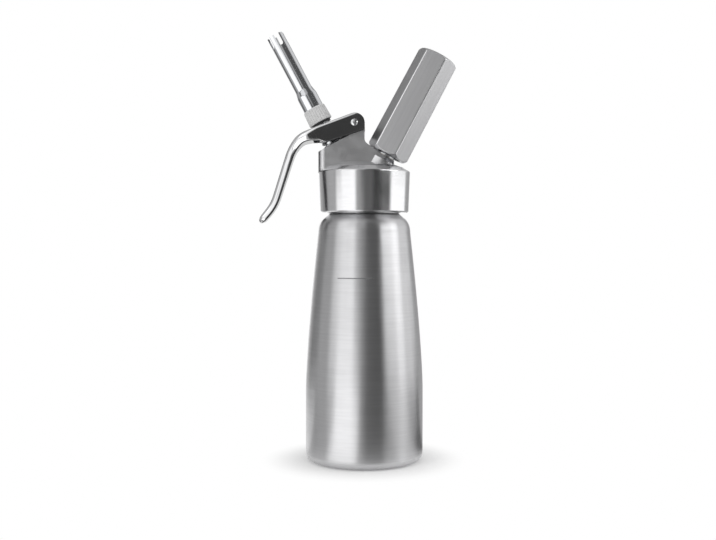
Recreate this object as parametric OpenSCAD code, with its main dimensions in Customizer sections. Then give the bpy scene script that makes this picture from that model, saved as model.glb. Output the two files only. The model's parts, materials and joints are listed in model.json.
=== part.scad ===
// Whipped cream dispenser, half a litre: a steel bottle, an aluminium head with a squeeze lever and a
// valve on one side, and a holder for a gas charger on the other.
// The bottle stands on z = 0 and its axis is Z. The nozzle leans to -X and the charger holder to +X.

/* [Bottle] */
// Outer diameter of the bottle's straight foot
bottle_d = 78; // [72:0.5:84]
// Height of the straight foot, below the taper
straight_h = 50; // [40:1:60]
// Outer diameter at the top of the taper
taper_top_d = 61.4; // [58:0.2:66]
// Height at which the taper ends and the shoulder starts
shoulder_z = 151; // [140:1:165]
// Height of the rounded shoulder
shoulder_h = 10.6; // [8:0.2:13]
// Wall thickness of the bottle
bottle_wall = 1; // [0.8:0.1:1.5]
// Thickness of the bottle's base
base_t = 1.2; // [0.8:0.1:2]
// Outer radius of the edge between base and wall
base_edge_r = 5.5; // [4:0.5:8]
// How deep the base is dished inside its standing ring
dish_h = 1.6; // [0.8:0.1:3]
// Outer diameter of the neck
neck_d = 46; // [44:0.5:48]
// Bore of the neck
neck_bore_d = 43.2; // [42:0.2:43.6]
// Height of the neck above the shoulder
neck_h = 22.4; // [21:0.2:26]
// How far the neck's thread stands out
thread_depth = 1; // [0.6:0.1:1.4]

/* [Head] */
// Thickness of the gasket between rim and head
gasket_t = 2; // [1.5:0.1:3]
// Width of the gasket's ring
gasket_w = 4.3; // [3.6:0.1:5]
// Running clearance between the neck's thread and the skirt's bore
thread_gap = 0.4; // [0.3:0.05:0.6]
// How far the skirt reaches below the gasket's seat
skirt_drop = 21.5; // [18:0.5:21.5]
// Outer height of the skirt
skirt_h = 27.6; // [25:0.2:30]
// Outer diameter of the skirt at its lower edge
skirt_low_d = 58.8; // [56:0.2:62]
// Outer diameter of the skirt at its upper edge
skirt_top_d = 60.8; // [58:0.2:64]
// Rise of the dome over the skirt's upper edge
dome_h = 5.4; // [5:0.1:9]
// Depth of the chamber in the underside of the head
chamber_h = 5; // [3:0.1:6]
// Width of the flat-sided block that carries lever and valve
block_w = 17.4; // [16.4:0.2:19]
// Corner radius of the block's front, seen from above
block_corner_r = 4.5; // [2:0.5:7]
// Lean of the valve from upright, in degrees
valve_tilt = 28; // [26:0.5:30]
// Depth below the gasket's seat at which the valve's axis crosses the bottle's axis
valve_cross = 15.5; // [14.5:0.1:16]
// Height along the valve's axis of the block's slanted top
block_top_s = 44.2; // [43:0.1:45.5]
// Radius of the ear round the lever's pivot
ear_r = 4.1; // [3.6:0.1:4.2]

/* [Valve] */
// Height along the axis of the valve's seat
seat_s = 18; // [17:0.1:19]
// Bore of the cream chamber above the seat
cream_bore_d = 10; // [9.6:0.1:10.6]
// Length of the cream chamber
cream_h = 10; // [9.5:0.1:11]
// Outer diameter of the stem where it slides
stem_d = 9.5; // [9:0.1:9.8]
// Bore of the stem
stem_bore_d = 5; // [3:0.1:6]
// Diameter of the stem's thin part below the ports
stem_neck_d = 6.4; // [6:0.1:7]
// Diameter of the stem's threaded tail
stem_tail_d = 4.8; // [4:0.1:5.4]
// Diameter of the cross ports
port_d = 2.6; // [1.6:0.1:3]
// Length of the guide bush
guide_h = 10; // [9:0.2:11]
// Outer diameter of the guide bush
guide_d = 12; // [11.6:0.1:12.4]
// Running clearance between stem and bush, on the diameter
stem_gap = 0.2; // [0.1:0.02:0.3]
// Diameter of the shoulder that the lever presses on
shoulder_d = 13; // [12.4:0.1:13.2]
// Thickness of that shoulder
shoulder_t = 2; // [1.4:0.1:2.4]
// Wire diameter of the valve's spring
spring_wire = 1.1; // [0.8:0.05:1.3]
// Clearance between the stem and the spring round it
spring_gap = 0.25; // [0.15:0.05:0.35]
// Turns of the valve's spring
spring_turns = 6; // [4:1:8]
// Diameter of the seal
seal_d = 12.8; // [12.2:0.1:13.4]
// Thickness of the seal
seal_t = 2.4; // [1.6:0.1:3]
// Width across the flats of the valve's nut
nut_af = 9; // [8:0.5:10]
// Height of the valve's nut
nut_h = 4; // [3:0.1:5]

/* [Lever] */
// Distance from the pivot to the valve's axis
lever_arm = 19.1; // [18.4:0.1:20]
// Height along the valve's axis of the pivot
pivot_s = 49.8; // [49:0.1:50.6]
// Lean of the lever's plate from square to the valve, in degrees
plate_lean = 7.5; // [6.5:0.1:8.5]
// Distance from the pivot to the plate's outer face
plate_rise = 6.3; // [6.2:0.05:6.6]
// Thickness of the plate and the flanges
plate_t = 1.8; // [1.4:0.1:1.8]
// Gap between the block and each flange
flange_gap = 0.3; // [0.2:0.05:0.6]
// Depth of the flanges under the plate's outer face
flange_h = 12.6; // [11.6:0.1:13]
// Radius of the lever's rounded end
end_r = 6.8; // [6.6:0.1:7.2]
// Thickness of the handle
handle_t = 5.5; // [4.5:0.1:7]
// Width of the handle
handle_w = 13.4; // [10:0.2:16]
// Width of the handle near its tip
tip_w = 11; // [8:0.2:13]
// Radius of the handle's outer long edges
handle_edge_r = 3.9; // [2.4:0.1:4.1]
// Radius of the handle's inner long edges
handle_inner_r = 1.2; // [0.8:0.1:1.4]
// Diameter of the pivot pin
pin_d = 4.4; // [3.6:0.1:5]
// Running clearance of the pin in the flanges, on the diameter
pin_gap = 0.1; // [0.06:0.02:0.2]

/* [Nozzle] */
// Height along the axis of the ribbed collar's lower face
collar_s = 61.2; // [60.9:0.1:61.6]
// Length of the ribbed collar
collar_h = 10.2; // [9:0.1:12]
// Diameter of the collar's lower edge
collar_low_d = 16.1; // [15.6:0.1:17]
// Diameter of the collar's upper edge
collar_top_d = 15.2; // [14.8:0.1:16]
// Number of grooves round the collar
collar_grooves = 28; // [20:1:36]
// Outer diameter of the nozzle's foot
nozzle_foot_d = 13.7; // [13.2:0.1:14]
// Length of the nozzle's foot above the collar
nozzle_foot_h = 9.3; // [6:0.1:12]
// Length of the nozzle's cone
nozzle_cone_h = 5; // [3:0.1:8]
// Outer diameter of the nozzle's tube
nozzle_d = 11.5; // [10.4:0.1:12.4]
// Length of the nozzle's tube
nozzle_h = 40; // [30:0.5:50]
// Wall thickness of the nozzle
nozzle_wall = 1.1; // [0.8:0.05:1.3]
// Number of slots in the nozzle's mouth
nozzle_slots = 5; // [4:1:6]
// Width of each slot
slot_w = 3.6; // [2.4:0.1:3.8]
// Depth of each slot
slot_h = 8; // [4:0.1:10]
// Thickness of the nozzle's washer
washer_t = 1.4; // [1:0.1:1.5]

/* [Charger holder] */
// Lean of the charger holder from upright, in degrees
inlet_tilt = 28; // [27:0.5:30]
// Depth below the gasket's seat at which the holder's axis crosses the bottle's axis
inlet_cross = 10.7; // [10:0.1:11.2]
// Height along the axis of the boss that the fitting screws into
boss_top_t = 30; // [29.6:0.1:30.6]
// Diameter of the boss at its top
boss_d = 13; // [12.4:0.1:14]
// Thickness of the fitting's washer
fitting_washer_t = 0.6; // [0.4:0.1:1]
// Diameter of the fitting's shank
shank_d = 9; // [8:0.1:9.6]
// Length of the fitting's bare neck
fitting_neck_h = 2.8; // [2.4:0.1:4]
// Outer diameter of the fitting's threaded barrel
barrel_d = 19.6; // [19:0.1:19.8]
// Length of the fitting's threaded barrel
barrel_h = 10.4; // [9:0.1:12]
// Width across the flats at the holder's mouth
holder_mouth_af = 25.5; // [24.6:0.1:27]
// Width across the flats at the holder's closed end
holder_end_af = 24.4; // [23.8:0.1:25.4]
// Outer corner radius of the holder's hexagon
holder_corner_r = 1.4; // [0.6:0.1:2.5]
// Thickness of the holder's closed end
holder_end_t = 3.2; // [2.6:0.1:6]
// Turn of the holder's hexagon, in degrees
holder_turn = -8.5; // [-30:0.5:30]
// Diameter of the gas charger
charger_d = 18; // [17.6:0.1:18.4]
// Length of the gas charger
charger_h = 65.5; // [63:0.5:67]
// Clearance of the charger in its holder, on the diameter
charger_gap = 1; // [0.6:0.1:1.2]
// Thickness of the charger's wall
charger_wall = 1.2; // [0.8:0.1:1.6]

/* [Hidden] */
$fn = 64;
contact_gap = 0.05;

steel = [0.78, 0.79, 0.80];
satin = [0.66, 0.67, 0.69];
chrome = [0.86, 0.87, 0.88];
black_rubber = [0.12, 0.12, 0.13];
white_plastic = [0.94, 0.94, 0.95];
brass = [0.80, 0.66, 0.36];

// Heights along the bottle's axis
neck_z = shoulder_z + shoulder_h;
rim_z = neck_z + neck_h;
seat_z = rim_z + gasket_t;
skirt_z = seat_z - skirt_drop;
eave_z = skirt_z + skirt_h;
thread_r = neck_d / 2 + thread_depth;
thread_z = rim_z - 16;
thread_run = 1;
skirt_bore_r = thread_r + thread_gap;
gasket_r = skirt_bore_r - 0.3;
chamber_r = gasket_r - gasket_w - 0.4;

// The valve's own frame: s runs up its axis, and x lies toward the lever's pivot
valve_z = seat_z - valve_cross;
guide_s = seat_s + cream_h;
spring_s = guide_s + guide_h;
bush_bore_r = (stem_d + stem_gap) / 2;
rings_per_turn = 8;
wire_sides = 6;
coil_r = (stem_d / 2 + spring_gap) / cos(180 / rings_per_turn) + spring_wire / 2;
counterbore_gap = 0.25;
counterbore_r = max(coil_r + spring_wire / 2, shoulder_d / 2) + counterbore_gap;
tail_s = seat_s - seal_t - nut_h - 1;
port_s = seat_s + 5.5;
port_bore_s = port_s - 2;
stem_wide_s = guide_s - 0.5;
stem_cone_h = 2;
ring_t = 1.5;
ring_groove = 1.1;
ring_s = [guide_s + guide_h - 3.9, guide_s + guide_h - 1.6];
valve_boss_r = seal_d / 2 + 2.1;

// The lever: its plate's direction, its normal, and the foot of the pivot on its outer face
function valve_pt(x, s) = [
    x * cos(valve_tilt) - s * sin(valve_tilt),
    valve_z + x * sin(valve_tilt) + s * cos(valve_tilt)
];
plate_slope = valve_tilt - plate_lean;
plate_dir = [cos(plate_slope), sin(plate_slope)];
plate_up = [-sin(plate_slope), cos(plate_slope)];
pivot = valve_pt(lever_arm, pivot_s);
plate_foot = pivot + plate_rise * plate_up;
end_centre = plate_foot - end_r * plate_up;
flange_y = block_w / 2 + flange_gap;
lever_w = 2 * (flange_y + plate_t);
plate_under_s = pivot_s + (plate_rise - plate_t) / cos(plate_lean) + lever_arm * tan(plate_lean);
nub_drop = 0.95;
nub_r = 0.9;
shoulder_top_s = plate_under_s - nub_drop - contact_gap;
shoulder_s = shoulder_top_s - shoulder_t;
stem_slot_r = stem_d / 2 + 0.4;
stem_slot_run = 1.6;
hollow_end = 29.5;
wrap_end = -25;

// The nozzle, along the valve's axis
stem_end_s = collar_s + 7.8;
socket_s = collar_s + 5.8;
foot_top_s = collar_s + collar_h + nozzle_foot_h;
tube_s = foot_top_s + nozzle_cone_h;
mouth_s = tube_s + nozzle_h;
nozzle_r = nozzle_d / 2;
foot_r = nozzle_foot_d / 2;
screw_gap = 0.15;
washer_r = collar_low_d / 2 - 1.5;
slot_turn = -78;

// The charger's side: t runs up the holder's axis
inlet_z = seat_z - inlet_cross;
function inlet_pt(x, t) = [
    x * cos(inlet_tilt) + t * sin(inlet_tilt),
    inlet_z - x * sin(inlet_tilt) + t * cos(inlet_tilt)
];
shank_t = 13.5;
tail_t = 9.8;
neck_t = boss_top_t + fitting_washer_t;
barrel_t = neck_t + fitting_neck_h;
filter_h = 1;
pin_base_h = 1.4;
pin_t = barrel_t;
well_t = pin_t + pin_base_h;
charger_seal_h = 2;
tip_t = well_t + charger_seal_h + contact_gap;
well_r = 4.8;
pin_base_r = 3.2;
mouth_gap = 0.9;
mouth_t = neck_t + mouth_gap;
barrel_end_t = barrel_t + barrel_h;
charger_end_t = tip_t + charger_h;
holder_end_in_t = charger_end_t + contact_gap;
holder_end_out_t = holder_end_in_t + holder_end_t;
holder_bore_r = (charger_d + charger_gap) / 2;
holder_thread_r = barrel_d / 2 + 0.3;

function arc(c, r, a0, a1, n = 10) = [
    for (i = [0:n])
        let (a = a0 + (a1 - a0) * i / n)
            c + r * [cos(a), sin(a)]
];
function reversed(list) = [for (i = [len(list) - 1:-1:0]) list[i]];
function mix(a, b, k) = a + (b - a) * k;
function ease(k) = (1 - cos(180 * min(max(k, 0), 1))) / 2;

module in_valve() {
    translate([0, 0, valve_z]) rotate([0, -valve_tilt, 0]) children();
}
module in_inlet() {
    translate([0, 0, inlet_z]) rotate([0, inlet_tilt, 0]) children();
}
// A side outline in x and z, as thick as w across the object
module slab(points, w) {
    rotate([90, 0, 0]) linear_extrude(height = w, center = true) polygon(points);
}
module tube(r_out, r_in, h) {
    difference() {
        cylinder(r = r_out, h = h);
        translate([0, 0, -1]) cylinder(r = r_in, h = h + 2);
    }
}

// Bottle: outer and inner outline, half of the section
taper_steps = 16;
taper_power = 1.35;
shoulder_steps = 9;
shoulder_turn = 70;
shoulder_lip = 1.2;
function taper_r(k) = mix(bottle_d / 2, taper_top_d / 2, pow(k, taper_power));
function taper_line(inset) = [
    for (i = [0:taper_steps])
        [taper_r(i / taper_steps) - inset, mix(straight_h, shoulder_z, i / taper_steps)]
];
function shoulder_line(inset) = let (lip_r = neck_d / 2 + shoulder_lip) [
    for (i = [1:shoulder_steps])
        let (a = shoulder_turn * i / shoulder_steps)
            [
                lip_r + (taper_top_d / 2 - lip_r) * cos(a) - inset * cos(a),
                shoulder_z + shoulder_h * sin(a) - inset * sin(a)
            ]
];
module bottle() {
    foot = bottle_d / 2;
    ring_r = foot - base_edge_r;
    outside = concat(
        [[0, dish_h], [ring_r - 4 - dish_h, dish_h], [ring_r - 4, 0]],
        arc([ring_r, base_edge_r], base_edge_r, -90, 0, 8),
        taper_line(0), shoulder_line(0),
        [
            [neck_d / 2, neck_z + 2 * shoulder_lip], [neck_d / 2, thread_z - thread_run],
            [thread_r, thread_z], [thread_r, rim_z - thread_run], [thread_r - 0.8, rim_z]
        ]
    );
    inside = concat(
        [[0, dish_h + base_t], [ring_r - 4 - dish_h, dish_h + base_t], [ring_r - 4, base_t]],
        arc([ring_r, base_edge_r], base_edge_r - bottle_wall, -80, 0, 8),
        taper_line(bottle_wall), shoulder_line(bottle_wall),
        [[neck_bore_d / 2, neck_z + shoulder_lip], [neck_bore_d / 2, rim_z]]
    );
    color(steel) rotate_extrude() polygon(concat(outside, reversed(inside)));
}

module head_gasket() {
    color(black_rubber) translate([0, 0, rim_z]) tube(gasket_r, gasket_r - gasket_w, gasket_t);
}

// Head: the turned body, the block with its ear, and the two bosses, bored from three sides
module dome() {
    low = skirt_low_d / 2;
    top = skirt_top_d / 2;
    crown_r = 9;
    rotate_extrude() polygon(concat(
        [[0, skirt_z], [low - 0.8, skirt_z], [low, skirt_z + 0.8]],
        arc([top - 1.2, eave_z - 1.2], 1.2, 2, 62, 5),
        [
            for (i = [1:6])
                let (k = i / 6)
                    [mix(top - 0.7, crown_r, k), eave_z + dome_h * pow(sin(90 * k), 0.7)]
        ],
        [[0, eave_z + dome_h]]
    ));
}
module block() {
    front = -skirt_top_d / 2;
    low_z = eave_z - 1.5;
    flank_x = pivot[0] + end_r;
    flank_slope = 38;
    ear_left = valve_pt(lever_arm - ear_r, block_top_s);
    ear_right = pivot + ear_r * [cos(-35), sin(-35)];
    front_z = valve_z + (block_top_s + front * sin(valve_tilt)) / cos(valve_tilt);
    boss_corner = inlet_pt(-boss_d / 2, boss_top_t);
    fillet_r = 3;
    fillet_rise = (boss_corner[0] - flank_x) * tan(flank_slope) + fillet_r * tan(45 - flank_slope / 2);
    fillet_z = boss_corner[1] + fillet_rise;
    outline = concat(
        [[front, low_z], [front, front_z], ear_left],
        arc(pivot, ear_r, 180 + valve_tilt, -35, 14),
        [[flank_x, ear_right[1] - (flank_x - ear_right[0])]],
        arc([flank_x + fillet_r, fillet_z], fillet_r, 180, 270 - flank_slope, 5),
        [boss_corner, inlet_pt(0, boss_top_t - 0.6), inlet_pt(0, shank_t), [0, low_z]]
    );
    intersection() {
        slab(outline, block_w);
        translate([0, 0, low_z - 1]) linear_extrude(height = 60) polygon(concat(
            arc([front + block_corner_r, block_w / 2 - block_corner_r], block_corner_r, 180, 90, 8),
            [[20, block_w / 2], [20, -block_w / 2]],
            arc([front + block_corner_r, block_corner_r - block_w / 2], block_corner_r, 270, 180, 8)
        ));
    }
}
module inlet_boss() {
    flare_r = 4;
    flare = [boss_d / 2 + flare_r - 0.1, boss_top_t + 1.2];
    in_inlet() rotate_extrude() polygon(concat(
        [[0, shank_t], [shank_d / 2 + 2.4, shank_t], [shank_d / 2 + 2.4, 21], [flare[0] + 0.4, 21]],
        arc(flare, flare_r, 276, 197, 7),
        [[boss_d / 2, boss_top_t], [0, boss_top_t]]
    ));
}
module head() {
    color(satin) difference() {
        union() {
            difference() {
                union() {
                    dome();
                    block();
                }
                translate([0, 0, skirt_z - 1]) cylinder(r = skirt_bore_r, h = skirt_drop + 1);
                translate([0, 0, seat_z - 1]) cylinder(r = chamber_r, h = chamber_h + 1);
            }
            inlet_boss();
            in_valve() translate([0, 0, seat_s]) cylinder(r = valve_boss_r, h = 14);
        }
        in_valve() {
            translate([0, 0, seat_s - 1]) cylinder(d = cream_bore_d, h = cream_h + 2);
            translate([0, 0, guide_s]) cylinder(d = guide_d, h = guide_h + 1);
            translate([0, 0, spring_s]) cylinder(r = counterbore_r, h = 30);
        }
        in_inlet() translate([0, 0, shank_t - 1]) cylinder(d = shank_d, h = 30);
        translate([pivot[0], 0, pivot[1]]) rotate([90, 0, 0]) cylinder(d = pin_d, h = 40, center = true);
    }
}
module valve_guide() {
    color(white_plastic) in_valve() translate([0, 0, guide_s]) tube(guide_d / 2, bush_bore_r, guide_h);
}

// A tube swept along a coil; it sits on the guide and under the stem's shoulder
module valve_spring() {
    wire_r = spring_wire / 2;
    rise = shoulder_s - spring_s - spring_wire - 2 * contact_gap;
    count = spring_turns * rings_per_turn;
    // the first and last turn rise less than the rest, and flatten toward the ends
    end_rise = spring_wire + 0.5;
    pitch = (rise - 2 * end_rise) / (spring_turns - 2);
    function end_z(turn) = end_rise * pow(turn, pitch / end_rise);
    function coil_z(turn) =
        turn < 1 ? end_z(turn)
        : turn > spring_turns - 1 ? rise - end_z(spring_turns - turn)
        : end_rise + pitch * (turn - 1);
    points = [
        for (i = [0:count])
            let (turn = i / rings_per_turn)
                for (j = [0:wire_sides - 1])
                    let (b = 360 * j / wire_sides, r = coil_r + wire_r * cos(b))
                        [r * cos(360 * turn), r * sin(360 * turn), coil_z(turn) + wire_r * sin(b)]
    ];
    sides = [
        for (i = [0:count - 1])
            for (j = [0:wire_sides - 1])
                let (
                    a = i * wire_sides + j, b = i * wire_sides + (j + 1) % wire_sides,
                    c = a + wire_sides, d = b + wire_sides
                )
                    each [[a, b, d], [a, d, c]]
    ];
    last = count * wire_sides;
    caps = concat(
        [for (j = [1:wire_sides - 2]) [0, j + 1, j]],
        [for (j = [1:wire_sides - 2]) [last, last + j, last + j + 1]]
    );
    function heights(i) = [for (j = [0:wire_sides - 1]) points[i * wire_sides + j][2]];
    gaps = [for (i = [0:count - rings_per_turn]) min(heights(i + rings_per_turn)) - max(heights(i))];
    echo(least_gap_between_turns = min(gaps));
    color(steel) in_valve() translate([0, 0, spring_s + contact_gap + wire_r])
        polyhedron(points, concat(sides, caps));
}

module valve_stem() {
    r = stem_d / 2;
    groove_r = r - ring_groove;
    grooves = [
        for (s = ring_s)
            let (low = s - ring_t / 2, high = s + ring_t / 2)
                each [[r, low], [groove_r, low], [groove_r, high], [r, high]]
    ];
    color(chrome) in_valve() difference() {
        rotate_extrude() polygon(concat(
            [
                [0, tail_s], [stem_tail_d / 2 - 0.5, tail_s], [stem_tail_d / 2, tail_s + 0.5],
                [stem_tail_d / 2, seat_s - contact_gap], [cream_bore_d / 2 - 0.7, seat_s - contact_gap],
                [cream_bore_d / 2 - 0.7, seat_s + 1], [stem_neck_d / 2, seat_s + 1.6],
                [stem_neck_d / 2, stem_wide_s - stem_cone_h], [r, stem_wide_s]
            ],
            grooves,
            [
                [r, shoulder_s], [shoulder_d / 2, shoulder_s], [shoulder_d / 2, shoulder_top_s],
                [r, shoulder_top_s], [r, stem_end_s - 0.6], [r - 0.6, stem_end_s], [0, stem_end_s]
            ]
        ));
        translate([0, 0, port_bore_s]) cylinder(d = stem_bore_d, h = stem_end_s);
        for (a = [0, 90])
            translate([0, 0, port_s]) rotate([0, 90, a]) cylinder(d = port_d, h = stem_d, center = true);
    }
}
module stem_o_rings() {
    wide = ring_groove + stem_gap / 2 - 0.02;
    color(black_rubber) in_valve() for (s = ring_s)
        translate([0, 0, s]) rotate_extrude()
            translate([stem_d / 2 - ring_groove + wide / 2, 0]) circle(d = wide);
}
module valve_seal() {
    color(black_rubber) in_valve() translate([0, 0, seat_s - contact_gap - seal_t])
        tube(seal_d / 2, stem_tail_d / 2, seal_t);
}
module valve_nut() {
    color(chrome) in_valve() translate([0, 0, seat_s - contact_gap - seal_t - nut_h]) difference() {
        cylinder(d = nut_af / cos(30), h = nut_h, $fn = 6);
        translate([0, 0, -1]) cylinder(d = stem_tail_d, h = nut_h + 2);
    }
}

module lever_pin() {
    half = lever_w / 2;
    dome = 0.8;
    color(chrome) translate([pivot[0], 0, pivot[1]]) rotate([90, 0, 0]) rotate_extrude() polygon(concat(
        [[0, -half - dome]],
        [for (i = [1:5]) [pin_d / 2 * sin(18 * i), -half - dome * cos(18 * i)]],
        [for (i = [5:-1:1]) [pin_d / 2 * sin(18 * i), half + dome * cos(18 * i)]],
        [[0, half + dome]]
    ));
}

// Lever: a skin of rings along its outer line, then the channel, the pin's bore and the stem's slot.
// The outer line starts at the foot of the pivot. It is straights and arcs: [length] or [radius, turn].
lever_line = [[32.7], [17, 32], [33, 19.8], [27.9], [28, -20.6], [9.2]];
tip_round = 4.2;
function run_length(seg) = len(seg) == 1 ? seg[0] : seg[0] * abs(seg[1]) * PI / 180;
function heading(v, a) = [v[0] * cos(a) - v[1] * sin(a), v[0] * sin(a) + v[1] * cos(a)];
// [point, direction] after going d along the segments from i on
function along(d, i = 0, at = plate_foot, way = -plate_dir) =
    let (seg = lever_line[i], whole = run_length(seg), last = i == len(lever_line) - 1)
    let (go = last ? d : min(d, whole))
    let (turn = len(seg) == 1 ? 0 : seg[1] * go / whole)
    let (chord = len(seg) == 1 ? go : 2 * seg[0] * sin(abs(turn) / 2))
    let (next = at + chord * heading(way, turn / 2), next_way = heading(way, turn))
    d <= whole || last ? [next, next_way] : along(d - whole, i + 1, next, next_way);
lever_length = run_length(lever_line[0]) + run_length(lever_line[1]) + run_length(lever_line[2])
    + run_length(lever_line[3]) + run_length(lever_line[4]) + run_length(lever_line[5]);
// depth of the section under the outer line
function lever_depth(d) = lookup(d, [
    [-3.5, flange_h + 0.5], [18.7, flange_h - 0.3], [22.4, flange_h - 0.7], [23.8, flange_h - 2],
    [25.6, handle_t + 3.6], [31, handle_t + 1.9], [37, handle_t + 1.1], [50, handle_t + 0.2],
    [60, handle_t], [92, handle_t - 0.3], [lever_length, handle_t - 0.8]
]);
function lever_width(d) =
    d < 60 ? mix(lever_w, handle_w, ease((d - hollow_end - 1) / 20)) : mix(handle_w, tip_w, (d - 60) / 38);
function tip_scale(d) =
    let (k = (d - lever_length + tip_round) / tip_round) k <= 0 ? 1 : sqrt(1 - pow(0.94 * k, 2));
module lever_skin() {
    stations = concat(
        [-12, 6, 14, 18.7, 21, 22.4, 23.8, 25.6, 28],
        [for (d = [31:2.2:60]) d],
        [63, 68, 74, 80],
        [for (d = [83:2.2:94.5]) d],
        [for (k = [0, 0.25, 0.45, 0.62, 0.78, 0.9, 1]) lever_length - tip_round * (1 - k)]
    );
    corner_steps = 6;
    function ring(d) =
        let (
            f = tip_scale(d), w = lever_width(d) * f,
            depth = lever_depth(d), h = depth * f, lift = depth * (1 - f) / 2,
            place = along(d), under = [-place[1][1], place[1][0]],
            low_r = min(mix(0.6, handle_inner_r, ease((d - 22) / 14)), h / 2 - 0.1) * f,
            top_r = min(mix(1.5, handle_edge_r, ease((d - 22) / 16)) * f, w / 2 - 0.1, h - low_r - 0.1)
        )
        [
            for (c = [
                [w / 2 - top_r, lift + top_r, top_r, 0], [top_r - w / 2, lift + top_r, top_r, 90],
                [low_r - w / 2, lift + h - low_r, low_r, 180], [w / 2 - low_r, lift + h - low_r, low_r, 270]
            ])
                for (i = [0:corner_steps])
                    let (a = c[3] + 90 * i / corner_steps, y = c[0] + c[2] * cos(a), z = c[1] - c[2] * sin(a))
                        [place[0][0] + under[0] * z, y, place[0][1] + under[1] * z]
        ];
    n = 4 * (corner_steps + 1);
    rings = [for (d = stations) each ring(d)];
    last = (len(stations) - 1) * n;
    polyhedron(rings, concat(
        [
            for (i = [0:len(stations) - 2])
                for (j = [0:n - 1])
                    let (a = i * n + j, b = i * n + (j + 1) % n)
                        each [[a, b + n, b], [a, a + n, b + n]]
        ],
        [[for (j = [0:n - 1]) j]],
        [[for (j = [n - 1:-1:0]) last + j]]
    ));
}
module lever() {
    corner_r = 1.9;
    corner_drop = flange_h + 0.5 - plate_rise - corner_r;
    corner_run = (end_r - corner_r + 0.2 - corner_drop * sin(plate_slope)) / cos(plate_slope);
    corner = pivot + corner_run * plate_dir - corner_drop * plate_up;
    far = 100;
    under_flange = plate_foot - 24 * plate_dir - (flange_h + 6) * plate_up;
    trim = concat(
        [[plate_foot[0] - far, plate_foot[1] + 5], plate_foot + 5 * plate_up, plate_foot],
        arc(end_centre, end_r, plate_slope + 90, -4, 12),
        arc(corner, corner_r, 0, plate_slope - 90, 5),
        [corner - (corner_r + 5) * plate_up, under_flange],
        [[under_flange[0], under_flange[1] - far], [plate_foot[0] - far, under_flange[1] - far]]
    );
    hollow_r = end_r - plate_t;
    top_line = plate_foot - plate_t * plate_up;
    front_r = 3;
    front = top_line - hollow_end * plate_dir;
    hollow = concat(
        [top_line],
        arc(end_centre, hollow_r, plate_slope + 90, wrap_end, 12),
        [
            end_centre + (end_r + 4) * [cos(wrap_end), sin(wrap_end)],
            end_centre + 24 * [cos(-70), sin(-70)], front - 30 * plate_up
        ],
        arc(front + front_r * (plate_dir - plate_up), front_r, plate_slope + 180, plate_slope + 90, 5)
    );
    nub_s = plate_under_s - nub_drop + nub_r;
    nub_y = stem_slot_r + 0.2;
    color(chrome) difference() {
        union() {
            difference() {
                intersection() {
                    lever_skin();
                    slab(trim, 2 * lever_w);
                }
                slab(hollow, 2 * flange_y);
                in_valve() translate([0, 0, plate_under_s - 4]) {
                    cylinder(r = stem_slot_r, h = 9);
                    translate([stem_slot_run, 0, 0]) cylinder(r = stem_slot_r, h = 9);
                    translate([0, -stem_slot_r, 0]) cube([stem_slot_run, 2 * stem_slot_r, 9]);
                }
            }
            for (side = [-1, 1])
                in_valve() translate([0, side * (nub_y + flange_y) / 2, nub_s]) rotate([90, 0, 0])
                    cylinder(r = nub_r, h = flange_y - nub_y, center = true);
        }
        translate([pivot[0], 0, pivot[1]]) rotate([90, 0, 0])
            cylinder(d = pin_d + pin_gap, h = 2 * lever_w, center = true);
    }
}

module nozzle_washer() {
    color(black_rubber) in_valve() translate([0, 0, collar_s - washer_t])
        tube(washer_r, stem_d / 2 + screw_gap, washer_t);
}
module nozzle_collar() {
    low = collar_low_d / 2;
    top = collar_top_d / 2;
    lip = 0.8;
    lean = atan((low - top) / collar_h);
    color(white_plastic) in_valve() translate([0, 0, collar_s]) difference() {
        rotate_extrude() polygon([
            [0, 0], [low - 0.4, 0], [low, 0.4], [top, collar_h - lip], [top - 0.4, collar_h], [0, collar_h]
        ]);
        translate([0, 0, -1]) cylinder(r = stem_d / 2 + screw_gap, h = collar_h);
        translate([0, 0, socket_s - collar_s]) cylinder(r = foot_r, h = collar_h);
        for (i = [0:collar_grooves - 1])
            rotate([0, 0, 360 * i / collar_grooves]) translate([low + 0.1, 0, -1]) rotate([0, -lean, 0])
                cylinder(r = 0.45, h = collar_h + 0.2, $fn = 16);
    }
}
module nozzle_tube() {
    wall = nozzle_wall;
    color(steel) in_valve() difference() {
        rotate_extrude() polygon([
            [foot_r - wall, socket_s], [foot_r, socket_s], [foot_r, foot_top_s], [nozzle_r, tube_s],
            [nozzle_r, mouth_s], [nozzle_r - wall, mouth_s],
            [nozzle_r - wall, tube_s], [foot_r - wall, foot_top_s]
        ]);
        for (i = [0:nozzle_slots - 1])
            rotate([0, 0, slot_turn + 360 * i / nozzle_slots]) translate([0, 0, mouth_s - slot_h]) {
                translate([0, 0, slot_w / 2]) rotate([0, 90, 0]) cylinder(d = slot_w, h = nozzle_d);
                translate([0, -slot_w / 2, slot_w / 2]) cube([nozzle_d, slot_w, slot_h]);
            }
    }
}

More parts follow.
